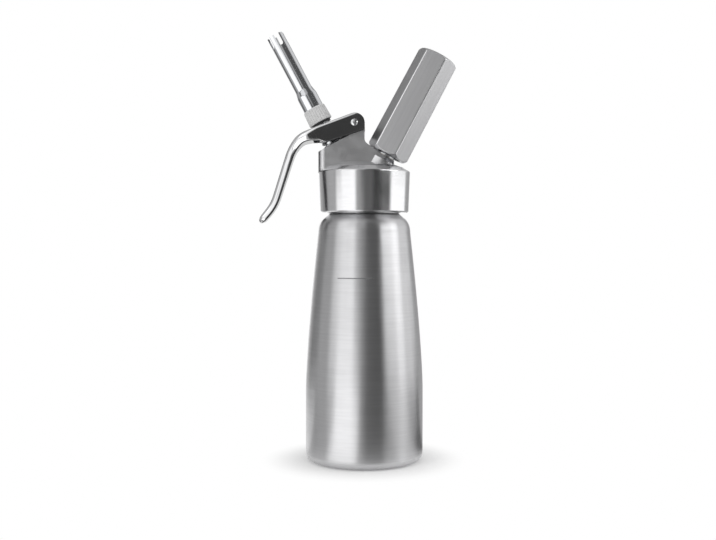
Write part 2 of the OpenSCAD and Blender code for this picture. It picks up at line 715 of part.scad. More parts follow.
module fitting_washer() {
    color(brass) in_inlet() translate([0, 0, boss_top_t])
        tube(boss_d / 2 - 0.3, shank_d / 2, fitting_washer_t);
}
module inlet_fitting() {
    shank = shank_d / 2;
    tail = 3;
    barrel = barrel_d / 2;
    color(chrome) in_inlet() difference() {
        rotate_extrude() polygon([
            [0, tail_t], [tail + 0.8, tail_t], [tail + 0.8, tail_t + 0.7], [tail, tail_t + 0.7],
            [tail, shank_t], [shank, shank_t + 0.6], [shank, neck_t],
            [boss_d / 2, neck_t], [boss_d / 2, barrel_t],
            [barrel, barrel_t], [barrel, barrel_end_t - 0.8], [barrel - 0.8, barrel_end_t], [0, barrel_end_t]
        ]);
        translate([0, 0, tail_t + 1.2]) cylinder(r = 1.2, h = 40);
        translate([0, 0, pin_t - filter_h]) cylinder(r = pin_base_r, h = 20);
        translate([0, 0, well_t]) cylinder(r = well_r, h = 20);
        translate([0, 0, tail_t + 2.2]) rotate([0, 90, 90]) cylinder(r = 0.7, h = 3 * tail, center = true);
    }
}
module inlet_filter() {
    color(brass) in_inlet() translate([0, 0, pin_t - filter_h]) cylinder(r = pin_base_r, h = filter_h);
}
module piercing_pin() {
    needle = 1.1;
    tip = 6.4;
    color(chrome) in_inlet() translate([0, 0, pin_t]) difference() {
        rotate_extrude() polygon([
            [0, 0], [pin_base_r, 0], [pin_base_r, pin_base_h], [needle, pin_base_h],
            [needle, tip - 1.6], [0.5, tip], [0, tip]
        ]);
        translate([0, 0, -1]) cylinder(r = 0.4, h = tip + 2);
    }
}
module charger_seal() {
    color(black_rubber) in_inlet() translate([0, 0, well_t]) tube(well_r, 1.4, charger_seal_h);
}
module check_sleeve() {
    color(black_rubber) in_inlet() translate([0, 0, tail_t + 0.7]) tube(4, 3, 2.6);
}

// Gas charger: a drawn steel bulb, shown pierced
module gas_charger() {
    r = charger_d / 2;
    neck = 3.9;
    neck_h = 7.6;
    ogive_h = 8;
    function half(inset) = concat(
        [[neck - inset, inset], [neck - inset, neck_h]],
        [
            for (i = [1:8])
                [mix(neck, r, ease(i / 8)) - inset, neck_h + ogive_h * i / 8]
        ],
        [for (i = [0:8]) [(r - inset) * cos(11.25 * i), charger_h - r + (r - inset) * sin(11.25 * i)]]
    );
    color(steel) in_inlet() translate([0, 0, tip_t]) rotate_extrude() polygon(concat(
        [[1.5, charger_wall]], [[1.5, 0]], half(0), reversed(half(charger_wall))
    ));
}
// Charger holder: a tapered hexagon with a crowned end and a bevelled mouth
module charger_holder() {
    length = holder_end_out_t - mouth_t;
    big = holder_mouth_af / 2 / cos(30);
    small_r = holder_end_af / 2;
    edge_r = 4;
    bevel = 2.3;
    color(satin) in_inlet() difference() {
        intersection() {
            translate([0, 0, mouth_t]) rotate([0, 0, holder_turn])
                linear_extrude(height = length, scale = holder_end_af / holder_mouth_af)
                    offset(r = holder_corner_r, $fn = 24)
                        circle(r = (holder_mouth_af / 2 - holder_corner_r) / cos(30), $fn = 6);
            rotate_extrude() polygon(concat(
                [[0, mouth_t], [big - bevel, mouth_t], [big + 0.2, mouth_t + bevel + 0.2]],
                arc([small_r - edge_r + 2.2, holder_end_out_t - 0.6 - edge_r], edge_r, 0, 80, 8),
                [[6, holder_end_out_t - 0.12], [0, holder_end_out_t]]
            ));
        }
        translate([0, 0, mouth_t - 1]) cylinder(r = holder_thread_r, h = barrel_end_t + 1 - mouth_t + 1);
        translate([0, 0, mouth_t]) cylinder(r = holder_bore_r, h = holder_end_in_t - mouth_t);
    }
}

bottle();
head_gasket();
head();
valve_guide();
valve_spring();
lever_pin();
lever();
valve_stem();
stem_o_rings();
valve_seal();
valve_nut();
nozzle_washer();
nozzle_collar();
nozzle_tube();
fitting_washer();
inlet_fitting();
inlet_filter();
piercing_pin();
charger_seal();
check_sleeve();
gas_charger();
charger_holder();
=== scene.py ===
"""The looks of a half-litre whipped cream dispenser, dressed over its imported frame.

The bottle stands on the floor at the origin and its axis is Z. The nozzle and the lever are on the -X side,
the holder of the gas charger is on the +X side, and the camera looks along +Y. All sizes are in metres, or
in millimetres times MM.
"""

from __future__ import annotations

import json
import logging
import math
from dataclasses import dataclass
from enum import Enum
from typing import Any, Callable

import bmesh
import bpy
from mathutils import Matrix, Vector

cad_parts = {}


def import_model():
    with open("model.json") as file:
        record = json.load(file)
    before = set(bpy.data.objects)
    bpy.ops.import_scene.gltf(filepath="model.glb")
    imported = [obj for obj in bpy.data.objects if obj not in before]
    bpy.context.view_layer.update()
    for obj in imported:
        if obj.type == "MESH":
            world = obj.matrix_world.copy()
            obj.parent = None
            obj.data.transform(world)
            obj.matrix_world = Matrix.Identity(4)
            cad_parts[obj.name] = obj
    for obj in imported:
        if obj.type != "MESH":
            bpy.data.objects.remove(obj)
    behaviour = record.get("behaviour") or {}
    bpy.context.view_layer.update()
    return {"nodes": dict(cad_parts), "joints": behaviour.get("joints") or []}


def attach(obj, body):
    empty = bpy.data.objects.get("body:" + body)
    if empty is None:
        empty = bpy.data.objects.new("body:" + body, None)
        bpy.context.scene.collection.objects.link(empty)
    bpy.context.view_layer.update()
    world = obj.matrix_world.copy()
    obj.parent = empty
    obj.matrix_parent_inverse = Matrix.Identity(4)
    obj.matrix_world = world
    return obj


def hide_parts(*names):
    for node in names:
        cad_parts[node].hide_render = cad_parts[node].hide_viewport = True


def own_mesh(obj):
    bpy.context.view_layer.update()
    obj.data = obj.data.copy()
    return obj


log = logging.getLogger("dispenser")

MM = 0.001
BEVEL_SAMPLES = 4
Colour = tuple[float, float, float]
Range = tuple[float, float]


# ---------------------------------------------------------------------------------------------------------
# Node trees
# ---------------------------------------------------------------------------------------------------------


class Graph:
    """A node tree with short calls for making its nodes and joining them."""

    MIX_FACTOR, MIX_DARK, MIX_LIGHT, MIX_RESULT = 0, 6, 7, 2

    def __init__(self, tree: bpy.types.NodeTree) -> None:
        """Takes over a tree and empties it.

        Args:
            tree: the tree of a material, a world or a node group.
        """
        self.tree = tree
        tree.nodes.clear()

    def add(self, kind: str, inputs: dict[Any, Any] | None = None, **settings: Any) -> bpy.types.Node:
        """Adds a node.

        Args:
            kind: Blender's name of the node's type.
            inputs: for each input, by name or place, a plain value or the socket that feeds it.
            settings: the node's own properties.

        Returns:
            The new node.
        """
        node = self.tree.nodes.new(kind)
        for name, value in settings.items():
            setattr(node, name, value)
        for key, value in (inputs or {}).items():
            socket = node.inputs[key]
            if isinstance(value, bpy.types.NodeSocket):
                self.tree.links.new(value, socket)
            elif isinstance(value, tuple) and len(value) == 3 and socket.type == "RGBA":
                socket.default_value = (*value, 1.0)
            else:
                socket.default_value = value
        return node

    def math(self, operation: str, *values: Any, clamp: bool = False) -> bpy.types.NodeSocket:
        """Adds a Math node and returns its output.

        Args:
            operation: the node's operation.
            values: its inputs in order, each a number or a socket.
            clamp: whether the result is held between 0 and 1.

        Returns:
            The result's socket.
        """
        node = self.add("ShaderNodeMath", dict(enumerate(values)), operation=operation, use_clamp=clamp)
        return node.outputs[0]

    def vector_math(self, operation: str, *values: Any, output: str = "Vector") -> bpy.types.NodeSocket:
        """Adds a Vector Math node and returns its output, named Vector or Value."""
        node = self.add("ShaderNodeVectorMath", dict(enumerate(values)), operation=operation)
        return node.outputs[output]

    def noise(
        self, vector: Any, scale: Any, detail: float = 2.0, roughness: float = 0.5
    ) -> bpy.types.NodeSocket:
        """Adds a Noise Texture and returns its value from 0 to 1.

        Args:
            vector: the socket of its coordinates.
            scale: cycles per unit of the coordinates.
            detail: the number of finer layers.
            roughness: the weight of the finer layers.

        Returns:
            The socket of the noise's value.
        """
        inputs = {"Vector": vector, "Scale": scale, "Detail": detail, "Roughness": roughness}
        return self.add("ShaderNodeTexNoise", inputs).outputs["Fac"]

    def ramp(
        self, value: Any, low: float, high: float, to_low: float = 0.0, to_high: float = 1.0
    ) -> bpy.types.NodeSocket:
        """Adds a smooth Map Range node and returns its result.

        Args:
            value: the socket that is mapped.
            low: the value that gives to_low.
            high: the value that gives to_high.
            to_low: the least result.
            to_high: the greatest result.

        Returns:
            The socket of the mapped value.
        """
        inputs = {"Value": value, "From Min": low, "From Max": high, "To Min": to_low, "To Max": to_high}
        return self.add("ShaderNodeMapRange", inputs, interpolation_type="SMOOTHSTEP").outputs["Result"]

    def tint(self, factor: Any, dark: Any, light: Any) -> bpy.types.NodeSocket:
        """Mixes two colours by a factor and returns the socket of the result."""
        inputs = {self.MIX_FACTOR: factor, self.MIX_DARK: dark, self.MIX_LIGHT: light}
        return self.add("ShaderNodeMix", inputs, data_type="RGBA", clamp_factor=True).outputs[self.MIX_RESULT]

    def seen_directly(self) -> bpy.types.NodeSocket:
        """Adds a mask of the rays that show a thing to the camera.

        Returns:
            The socket that is 1 for camera, glossy and transmission rays and 0 for the light's other rays.
        """
        path = self.add("ShaderNodeLightPath")
        seen = self.math("MAXIMUM", path.outputs["Is Camera Ray"], path.outputs["Is Glossy Ray"])
        return self.math("MAXIMUM", seen, path.outputs["Is Transmission Ray"])


def scaled(colour: Colour, factor: float) -> Colour:
    """Returns a colour made lighter or darker by a factor, held at 1."""
    return tuple(min(1.0, channel * factor) for channel in colour)


def new_material(name: str) -> tuple[bpy.types.Material, Graph]:
    """Makes a material.

    Args:
        name: the material's name.

    Returns:
        The material and the graph of its empty node tree.
    """
    material = bpy.data.materials.new(name)
    material.use_nodes = True
    return material, Graph(material.node_tree)


class Effect:
    """A shader node group that several materials share, built when it is first placed.

    Its inputs have the values that they take when nothing is linked, and its outputs are all numbers.
    """

    name: str
    inputs: dict[str, Any]
    outputs: tuple[str, ...]

    def results(self, graph: Graph, source: Any) -> dict[str, bpy.types.NodeSocket]:
        """Builds the group's nodes from its inputs and returns the socket of each output."""
        raise NotImplementedError

    def build(self) -> bpy.types.NodeTree:
        """Makes the group.

        Returns:
            The group's node tree.
        """
        tree = bpy.data.node_groups.new(self.name, "ShaderNodeTree")
        for name, value in self.inputs.items():
            kind = "NodeSocketVector" if isinstance(value, tuple) else "NodeSocketFloat"
            tree.interface.new_socket(name, in_out="INPUT", socket_type=kind).default_value = value
        for name in self.outputs:
            tree.interface.new_socket(name, in_out="OUTPUT", socket_type="NodeSocketFloat")
        graph = Graph(tree)
        source = graph.add("NodeGroupInput").outputs
        graph.add("NodeGroupOutput", self.results(graph, source))
        return tree

    def place(self, graph: Graph, inputs: dict[str, Any]) -> Any:
        """Places the group in a material.

        Args:
            graph: the material's graph.
            inputs: the values or sockets of its inputs.

        Returns:
            The outputs of the group's node.
        """
        tree = bpy.data.node_groups.get(self.name) or self.build()
        return graph.add("ShaderNodeGroup", inputs, node_tree=tree).outputs


class Grain(Effect):
    """The fine parallel lines of brushed or turned metal, and the broader streaks along them."""

    name = "metal_grain"
    inputs = {"Vector": (0.0, 0.0, 0.0), "Across": (1.0, 1.0, 1.0), "Turned": 0.0}
    outputs = ("Height", "Streaks")
    streak_scale = 0.16
    line_detail = 3.0
    line_roughness = 0.6

    def results(self, graph: Graph, source: Any) -> dict[str, bpy.types.NodeSocket]:
        """Builds the lines, which also follow the distance from the axis where Turned is above 0.

        Args:
            graph: the group's graph.
            source: the group's inputs.

        Returns:
            The lines' height and the streaks.
        """
        parts = graph.add("ShaderNodeSeparateXYZ", {"Vector": source["Vector"]}).outputs
        flat = graph.add("ShaderNodeCombineXYZ", {"X": parts["X"], "Y": parts["Y"]})
        radius = graph.vector_math("LENGTH", flat.outputs[0], output="Value")
        along = graph.math("MULTIPLY_ADD", radius, source["Turned"], parts["Z"])
        place = graph.add("ShaderNodeCombineXYZ", {"X": parts["X"], "Y": parts["Y"], "Z": along})
        lines = graph.vector_math("MULTIPLY", place.outputs[0], source["Across"])
        broad = graph.vector_math("MULTIPLY", lines, (self.streak_scale,) * 3)
        height = graph.noise(lines, 1.0, self.line_detail, self.line_roughness)
        return {"Height": height, "Streaks": graph.noise(broad, 1.0)}


class Marks(Effect):
    """The soft patches and hairline scratches of handling, as two masks."""

    name = "handling_marks"
    inputs = {"Vector": (0.0, 0.0, 0.0), "Patch Scale": 60.0}
    outputs = ("Patches", "Scratches")
    patch_detail = 3.0
    patch_roughness = 0.55
    patch_levels = (0.35, 0.68)
    scratch_turns = (0.35, 1.25, 2.2)
    scratch_lean = (1.0, 0.6, 1.7)
    scratches_per_m = (40.0, 40.0, 5000.0)
    scratch_levels = (0.78, 0.82)

    def results(self, graph: Graph, source: Any) -> dict[str, bpy.types.NodeSocket]:
        """Builds the two masks, with scratches that run several ways.

        Args:
            graph: the group's graph.
            source: the group's inputs.

        Returns:
            The masks of the patches and of the scratches.
        """
        spread = {"Vector": source["Vector"], "Scale": source["Patch Scale"]}
        vector = graph.add("ShaderNodeVectorMath", spread, operation="SCALE").outputs["Vector"]
        patches = graph.noise(vector, 1.0, self.patch_detail, self.patch_roughness)
        scratches: Any = 0.0
        for turn in self.scratch_turns:
            rotation = tuple(turn * lean for lean in self.scratch_lean)
            turned = graph.add("ShaderNodeMapping", {"Vector": source["Vector"], "Rotation": rotation})
            thin = graph.vector_math("MULTIPLY", turned.outputs[0], self.scratches_per_m)
            line = graph.ramp(graph.noise(thin, 1.0, 0.0), *self.scratch_levels)
            scratches = graph.math("MAXIMUM", scratches, line)
        return {"Patches": graph.ramp(patches, *self.patch_levels), "Scratches": scratches}


class Edges(Effect):
    """The brighter rub marks that handling leaves on edges, as a mask."""

    name = "worn_edges"
    inputs = {"Vector": (0.0, 0.0, 0.0), "Radius": 0.5 * MM}
    outputs = ("Mask",)
    facing_levels = (0.995, 0.90)
    breaks_per_m = 900.0
    break_levels = (0.3, 0.6)
    faintest = 0.35

    def results(self, graph: Graph, source: Any) -> dict[str, bpy.types.NodeSocket]:
        """Builds the mask from how far a rounded edge's normal leaves the face's.

        Args:
            graph: the group's graph.
            source: the group's inputs.

        Returns:
            The mask, 1 on an edge and 0 away from it.
        """
        rounded = graph.add("ShaderNodeBevel", {"Radius": source["Radius"]}, samples=BEVEL_SAMPLES)
        normal = graph.add("ShaderNodeNewGeometry").outputs["Normal"]
        facing = graph.vector_math("DOT_PRODUCT", rounded.outputs[0], normal, output="Value")
        bare = graph.ramp(facing, *self.facing_levels)
        breaks = graph.noise(source["Vector"], self.breaks_per_m)
        broken = graph.ramp(breaks, *self.break_levels, self.faintest)
        return {"Mask": graph.math("MULTIPLY", bare, broken)}


class Mould(Effect):
    """The fine uneven skin of moulded plastic and rubber, and a slow change of its tone."""

    name = "moulded_skin"
    inputs = {"Vector": (0.0, 0.0, 0.0), "Scale": 1500.0}
    outputs = ("Height", "Tone")
    clouds_per_m = 120.0

    def results(self, graph: Graph, source: Any) -> dict[str, bpy.types.NodeSocket]:
        """Builds the skin's height and the change of tone."""
        height = graph.noise(source["Vector"], source["Scale"])
        return {"Height": height, "Tone": graph.noise(source["Vector"], self.clouds_per_m)}


# ---------------------------------------------------------------------------------------------------------
# Axes and finishes
# ---------------------------------------------------------------------------------------------------------


@dataclass(frozen=True)
class Axis:
    """A line of the dispenser about which pieces are turned: its name, a point on it and its direction."""

    name: str
    point: Vector
    way: Vector

    @classmethod
    def of_joint(cls, name: str, joints: list[dict[str, Any]], joint: str) -> "Axis":
        """Reads an axis from a hinge of the frame.

        Args:
            name: the name given to the axis.
            joints: the frame's joints.
            joint: the hinge's name.

        Returns:
            The axis through the hinge's point.
        """
        found = next(j for j in joints if j["name"] == joint)
        return cls(name, Vector(found["pos_m"]), Vector(found["axis"]).normalized())

    def matrix(self) -> Matrix:
        """Works out the axis's own frame, with Z along the axis and Y as in the row frame.

        Returns:
            The matrix from that frame to the row frame.
        """
        z = self.way
        y = Vector((0.0, 1.0, 0.0))
        x = y.cross(z).normalized()
        turn = Matrix((x, y, z)).transposed()
        return Matrix.Translation(self.point) @ turn.to_4x4()

    def spot(self, radius: float, angle: float, height: float) -> Vector:
        """Returns the point at a radius, an angle in radians and a height in the axis's own frame."""
        return self.matrix() @ Vector((radius * math.cos(angle), radius * math.sin(angle), height))

    def coordinates(self, graph: Graph) -> bpy.types.NodeSocket:
        """Adds a material's coordinates, measured in the axis's own frame.

        Args:
            graph: the material's graph.

        Returns:
            The socket of the coordinates, in metres.
        """
        place = graph.add("ShaderNodeTexCoord").outputs["Object"]
        lean = self.matrix().to_euler()
        moved = graph.vector_math("SUBTRACT", place, tuple(self.point))
        mapping = graph.add("ShaderNodeMapping", {"Vector": moved, "Rotation": (0.0, -lean.y, 0.0)})
        return mapping.outputs[0]


class Lay(Enum):
    """Which way the grain of a metal runs, as cycles per millimetre along X, Y and Z of its axis's frame."""

    ROUND = (0.05, 0.05, 1.0)
    ALONG = (1.0, 1.0, 0.05)
    CROSSED = (0.6, 0.6, 0.6)


@dataclass(frozen=True)
class Zone:
    """A part of a piece whose tone and roughness differ there. The head's stepped zone is a different finish,
    the lever's facing zone is painted shade, and the holder's corner zone is partly a painted highlight.
    """

    tone: float
    roughness: float

    def mask(self, graph: Graph, axis: Axis) -> bpy.types.NodeSocket:
        """Returns the socket that is 1 in the zone and 0 outside it."""
        raise NotImplementedError


@dataclass(frozen=True)
class PaintedShadeFacing(Zone):
    """The sides that face one way, darkened as painted shade, from the angle where the zone starts to where
    it is full, as cosines.
    """

    way: tuple[float, float, float]
    start: float
    full: float

    def mask(self, graph: Graph, axis: Axis) -> bpy.types.NodeSocket:
        """Builds the zone's mask.

        Args:
            graph: the material's graph.
            axis: the axis that the material follows; not used here.

        Returns:
            The socket, 1 on the sides that face the way and 0 on the rest.
        """
        normal = graph.add("ShaderNodeTexCoord").outputs["Normal"]
        facing = graph.vector_math("DOT_PRODUCT", normal, self.way, output="Value")
        return graph.ramp(facing, self.start, self.full)


@dataclass(frozen=True)
class Steps(Zone):
    """The sides within a half width of the object's middle and above a height, for each pair of the two."""

    steps: tuple[tuple[float, float], ...]
    soft: float = 1.2 * MM
    side_on: Range = (0.25, 0.75)
    clouds_per_m: float = 130.0
    cloud_levels: Range = (0.35, 0.65)
    thinnest: float = 0.6

    def mask(self, graph: Graph, axis: Axis) -> bpy.types.NodeSocket:
        """Builds the zone's mask, mottled by clouds.

        Args:
            graph: the material's graph.
            axis: the axis that the material follows; not used here.

        Returns:
            The socket, 1 at most on the zone's sides and 0 outside it and on what faces along X or Z.
        """
        where = graph.add("ShaderNodeTexCoord").outputs
        place = graph.add("ShaderNodeSeparateXYZ", {0: where["Object"]}).outputs
        facing = graph.add("ShaderNodeSeparateXYZ", {0: where["Normal"]}).outputs
        aside = graph.math("ABSOLUTE", place["Y"])
        inside: Any = 0.0
        for half_width, height in self.steps:
            near = graph.math("LESS_THAN", aside, half_width)
            above = graph.ramp(place["Z"], height - self.soft / 2, height + self.soft / 2)
            inside = graph.math("ADD", inside, graph.math("MULTIPLY", near, above), clamp=True)
        flank = graph.ramp(graph.math("ABSOLUTE", facing["Y"]), *self.side_on)
        clouds = graph.noise(where["Object"], self.clouds_per_m)
        mottled = graph.ramp(clouds, *self.cloud_levels, self.thinnest)
        return graph.math("MULTIPLY", graph.math("MULTIPLY", inside, flank), mottled)


@dataclass(frozen=True)
class PaintedHighlightCorners(Zone):
    """The long corners of a bar with flat sides, rubbed smoother and painted brighter as a painted highlight
    line, by how far round a corner they face.
    """

    sides: int = 6
    reach_deg: Range = (16.0, 4.0)
    end_on: Range = (0.5, 0.3)

    def mask(self, graph: Graph, axis: Axis) -> bpy.types.NodeSocket:
        """Builds the zone's mask.

        Args:
            graph: the material's graph.
            axis: the bar's axis.

        Returns:
            The socket, 1 on the corners and 0 on the flat sides and the ends.
        """
        normal = graph.add("ShaderNodeTexCoord").outputs["Normal"]
        x, y, z = (
            graph.vector_math("DOT_PRODUCT", normal, tuple(way), output="Value")
            for way in axis.matrix().to_3x3().transposed()
        )
        turn = 2.0 * math.pi / self.sides
        side = graph.math("MULTIPLY_ADD", graph.math("ARCTAN2", y, x), 1.0 / turn, 0.5)
        aside = graph.math("ABSOLUTE", graph.math("SUBTRACT", graph.math("FRACT", side), 0.5))
        near, full = (math.radians(angle) / turn for angle in self.reach_deg)
        level = graph.ramp(graph.math("ABSOLUTE", z), *self.end_on)
        return graph.math("MULTIPLY", graph.ramp(aside, near, full), level)


@dataclass(frozen=True)
class Finish:
    """A finish: its name, its colour and how rough it is."""

    TONE_LEVELS = (0.3, 0.7)

    name: str
    colour: Colour
    roughness: float

    def surface(self, graph: Graph, axis: Axis) -> dict[str, Any]:
        """Builds the finish's nodes and returns the inputs of its shader."""
        raise NotImplementedError

    def toned(self, graph: Graph, clouds: bpy.types.NodeSocket, tone: float) -> bpy.types.NodeSocket:
        """Adds the finish's colour, darker and lighter by a tone as clouds go from low to high."""
        share = graph.ramp(clouds, *self.TONE_LEVELS)
        return graph.tint(share, scaled(self.colour, 1.0 - tone), scaled(self.colour, 1.0 + tone))

    def material(self, axis: Axis) -> bpy.types.Material:
        """Makes the finish's material for an axis, or finds the one made before.

        Args:
            axis: the axis that the finish follows.

        Returns:
            The material.
        """
        name = f"{self.name}_{axis.name}"
        if name in bpy.data.materials:
            return bpy.data.materials[name]
        material, graph = new_material(name)
        shader = graph.add("ShaderNodeBsdfPrincipled", self.surface(graph, axis))
        graph.add("ShaderNodeOutputMaterial", {"Surface": shader.outputs[0]})
        material.diffuse_color = (*self.colour, 1.0)
        return material


@dataclass(frozen=True)
class Metal(Finish):
    """A bare metal finish."""

    SMOOTHEST = 0.03
    QUARTER_TURN = 0.25

    lay: Lay = Lay.ROUND
    lines_per_mm: float = 6.0
    line_height: float = 0.004 * MM
    turned: float = 0.7
    streaks: float = 0.10
    tone: float = 0.06
    patches: float = 0.04
    scratches: float = 0.05
    scratch_depth: float = 8.0
    edge_radius: float = 0.0
    edge_shine: float = 0.0
    edge_tone: float = 1.18
    stretch: float = 0.0
    zones: tuple[Zone, ...] = ()

    def surface(self, graph: Graph, axis: Axis) -> dict[str, Any]:
        """Builds the grain, the marks of handling, the rubbed edges and the zones.

        Args:
            graph: the material's graph.
            axis: the axis that the grain follows.

        Returns:
            The inputs of the metal's shader.
        """
        place = axis.coordinates(graph)
        across = tuple(step * self.lines_per_mm / MM for step in self.lay.value)
        grain = Grain().place(graph, {"Vector": place, "Across": across, "Turned": self.turned})
        marks = Marks().place(graph, {"Vector": place})
        colour = self.toned(graph, grain["Streaks"], self.tone)
        shine = graph.math("MULTIPLY_ADD", grain["Height"], self.streaks, self.roughness - self.streaks / 2)
        shine = graph.math("MULTIPLY_ADD", marks["Patches"], self.patches, shine)
        shine = graph.math("MULTIPLY_ADD", marks["Scratches"], self.scratches, shine)
        depth = -self.scratch_depth * self.scratches
        height = graph.math("MULTIPLY_ADD", marks["Scratches"], depth, grain["Height"])
        relief = {"Height": height, "Strength": 1.0, "Distance": self.line_height}
        if self.edge_radius:
            worn = Edges().place(graph, {"Vector": place, "Radius": self.edge_radius})["Mask"]
            shine = graph.math("MULTIPLY_ADD", worn, -self.edge_shine, shine)
            colour = graph.tint(worn, colour, scaled(self.colour, self.edge_tone))
            rounded = graph.add("ShaderNodeBevel", {"Radius": self.edge_radius}, samples=BEVEL_SAMPLES)
            relief["Normal"] = rounded.outputs[0]
        # zones change the finish, and on the lever and the holder they also paint shade and a highlight into
        # the colour
        for zone in self.zones:
            inside = zone.mask(graph, axis)
            colour = graph.tint(inside, colour, scaled(self.colour, zone.tone))
            shine = graph.math("MULTIPLY_ADD", inside, zone.roughness, shine)
        surface = {
            "Base Color": colour,
            "Metallic": 1.0,
            "Roughness": graph.math("MAXIMUM", shine, self.SMOOTHEST),
            "Normal": graph.add("ShaderNodeBump", relief).outputs["Normal"],
        }
        if self.stretch:
            surface |= {"Anisotropic": self.stretch, "Anisotropic Rotation": self.QUARTER_TURN}
            tangent = graph.add("ShaderNodeTangent", direction_type="RADIAL", axis="Z")
            surface["Tangent"] = tangent.outputs[0]
        return surface


@dataclass(frozen=True)
class Moulded(Finish):
    """A moulded plastic or rubber finish."""

    grain_per_mm: float = 2.0
    height: float = 0.01 * MM
    tone: float = 0.03
    specular: float = 0.5
    unevenness: float = 0.12

    def surface(self, graph: Graph, axis: Axis) -> dict[str, Any]:
        """Builds the uneven skin.

        Args:
            graph: the material's graph.
            axis: the axis in whose frame the skin is measured.

        Returns:
            The inputs of the skin's shader.
        """
        place = axis.coordinates(graph)
        skin = Mould().place(graph, {"Vector": place, "Scale": self.grain_per_mm / MM})
        least = self.roughness - self.unevenness / 2
        relief = {"Height": skin["Height"], "Strength": 1.0, "Distance": self.height}
        return {
            "Base Color": self.toned(graph, skin["Tone"], self.tone),
            "Roughness": graph.math("MULTIPLY_ADD", skin["Height"], self.unevenness, least),
            "Normal": graph.add("ShaderNodeBump", relief).outputs["Normal"],
            "Specular IOR Level": self.specular,
        }


BRUSHED_BOTTLE = Metal(
    "bottle_brushed_steel", (0.67, 0.67, 0.68), 0.32, Lay.ROUND, 5.0, 0.0014 * MM,
    streaks=0.08, tone=0.03, stretch=0.9,
)
ETCHED_LINE = Metal("bottle_etched_line", (0.34, 0.34, 0.35), 0.60, Lay.CROSSED, 6.0, 0.003 * MM)
TURNED_HEAD = Metal(
    "head_turned_aluminium", (0.76, 0.76, 0.77), 0.16, Lay.ROUND, 7.0, 0.0010 * MM,
    streaks=0.06, tone=0.02, patches=0.03, scratches=0.0, edge_radius=0.35 * MM, edge_shine=0.06, stretch=0.3,
    zones=(Steps(tone=0.94, roughness=0.22, steps=((8.75 * MM, 192.6 * MM), (20.0 * MM, 194.4 * MM))),),
)
MIRROR_CHROME = Metal(
    "lever_mirror_chrome", (0.90, 0.90, 0.91), 0.06, Lay.CROSSED, 1.2, 0.0005 * MM,
    streaks=0.02, tone=0.01, patches=0.03, scratches=0.015, edge_radius=0.25 * MM,
    # painted shade: the lever's inner side, which faces +X and down, is darkened to stand in for the dark
    # reflections in its channel
    zones=(PaintedShadeFacing(tone=0.12, roughness=0.12, way=(0.8, 0.0, -0.6), start=0.02, full=0.35),),
)
POLISHED_PIN = Metal(
    "pin_polished_steel", (0.80, 0.81, 0.82), 0.14, Lay.CROSSED, 2.0, 0.0006 * MM, streaks=0.04, tone=0.02
)
POLISHED_TUBE = Metal(
    "nozzle_polished_steel", (0.74, 0.75, 0.77), 0.11, Lay.ROUND, 6.0, 0.0008 * MM, streaks=0.05, tone=0.02
)
BRUSHED_HOLDER = Metal(
    "holder_brushed_aluminium", (0.64, 0.64, 0.65), 0.36, Lay.ALONG, 4.0, 0.0025 * MM,
    streaks=0.14, tone=0.03, turned=0.0, edge_radius=0.5 * MM, edge_shine=0.20, edge_tone=1.3,
    # painted highlight: the holder's corners are painted brighter to stand in for the highlight lines on
    # their rounding; their lower roughness is a real smoother finish
    zones=(PaintedHighlightCorners(tone=1.25, roughness=-0.22),),
)
PLATED_FITTING = Metal("fitting_plated", (0.70, 0.71, 0.73), 0.16, Lay.ROUND, 6.0, 0.001 * MM)
TURNED_STEEL = Metal("turned_steel", (0.66, 0.67, 0.68), 0.22, Lay.ROUND, 7.0, 0.0015 * MM)
DRAWN_STEEL = Metal("charger_drawn_steel", (0.56, 0.57, 0.58), 0.34, Lay.ALONG, 3.0, 0.002 * MM, turned=0.0)
SPRING_WIRE = Metal("spring_wire_steel", (0.56, 0.56, 0.57), 0.25, Lay.CROSSED, 4.0, 0.001 * MM)
NICKELLED_BRASS = Metal("washer_nickelled_brass", (0.66, 0.64, 0.60), 0.30, Lay.ROUND, 5.0, 0.002 * MM)
SINTERED_BRASS = Metal("sintered_brass", (0.62, 0.46, 0.22), 0.55, Lay.CROSSED, 12.0, 0.02 * MM)
WHITE_COLLAR = Moulded(
    "collar_white_plastic", (0.68, 0.68, 0.68), 0.60, 1.5, 0.001 * MM, tone=0.02, specular=0.3
)
WHITE_BUSH = Moulded("bush_white_plastic", (0.84, 0.84, 0.82), 0.5, 2.0)
PALE_SILICONE = Moulded("gasket_pale_silicone", (0.70, 0.70, 0.67), 0.5, 1.5, tone=0.05)
BLACK_RUBBER = Moulded("black_rubber", (0.018, 0.018, 0.020), 0.55, 4.0, 0.02 * MM, tone=0.2)


# ---------------------------------------------------------------------------------------------------------
# Pieces
# ---------------------------------------------------------------------------------------------------------


def new_object(name: str, build: Callable[[bmesh.types.BMesh], None]) -> bpy.types.Object:
    """Makes a mesh object with smooth faces.

    Args:
        name: the object's name.
        build: fills the empty bmesh.

    Returns:
        The object, linked to the scene.
    """
    mesh = bpy.data.meshes.new(name)
    shape = bmesh.new()
    build(shape)
    bmesh.ops.recalc_face_normals(shape, faces=shape.faces)
    for face in shape.faces:
        face.smooth = True
    shape.to_mesh(mesh)
    shape.free()
    piece = bpy.data.objects.new(name, mesh)
    bpy.context.scene.collection.objects.link(piece)
    return piece


def join_rings(
    shape: bmesh.types.BMesh, rings: list[list[Vector]], caps: tuple[int, ...] = (0, -1)
) -> list[list[bmesh.types.BMVert]]:
    """Joins rings of points into a skin.

    Args:
        shape: the bmesh that it is made in.
        rings: the rings in order, each with the same number of points.
        caps: which of the rings are closed by a face.

    Returns:
        The corners of each ring.
    """
    rows = [[shape.verts.new(point) for point in ring] for ring in rings]
    for low, high in zip(rows, rows[1:]):
        for j in range(len(low)):
            k = (j + 1) % len(low)
            shape.faces.new((low[j], low[k], high[k], high[j]))
    for cap in caps:
        shape.faces.new(rows[cap])
    return rows


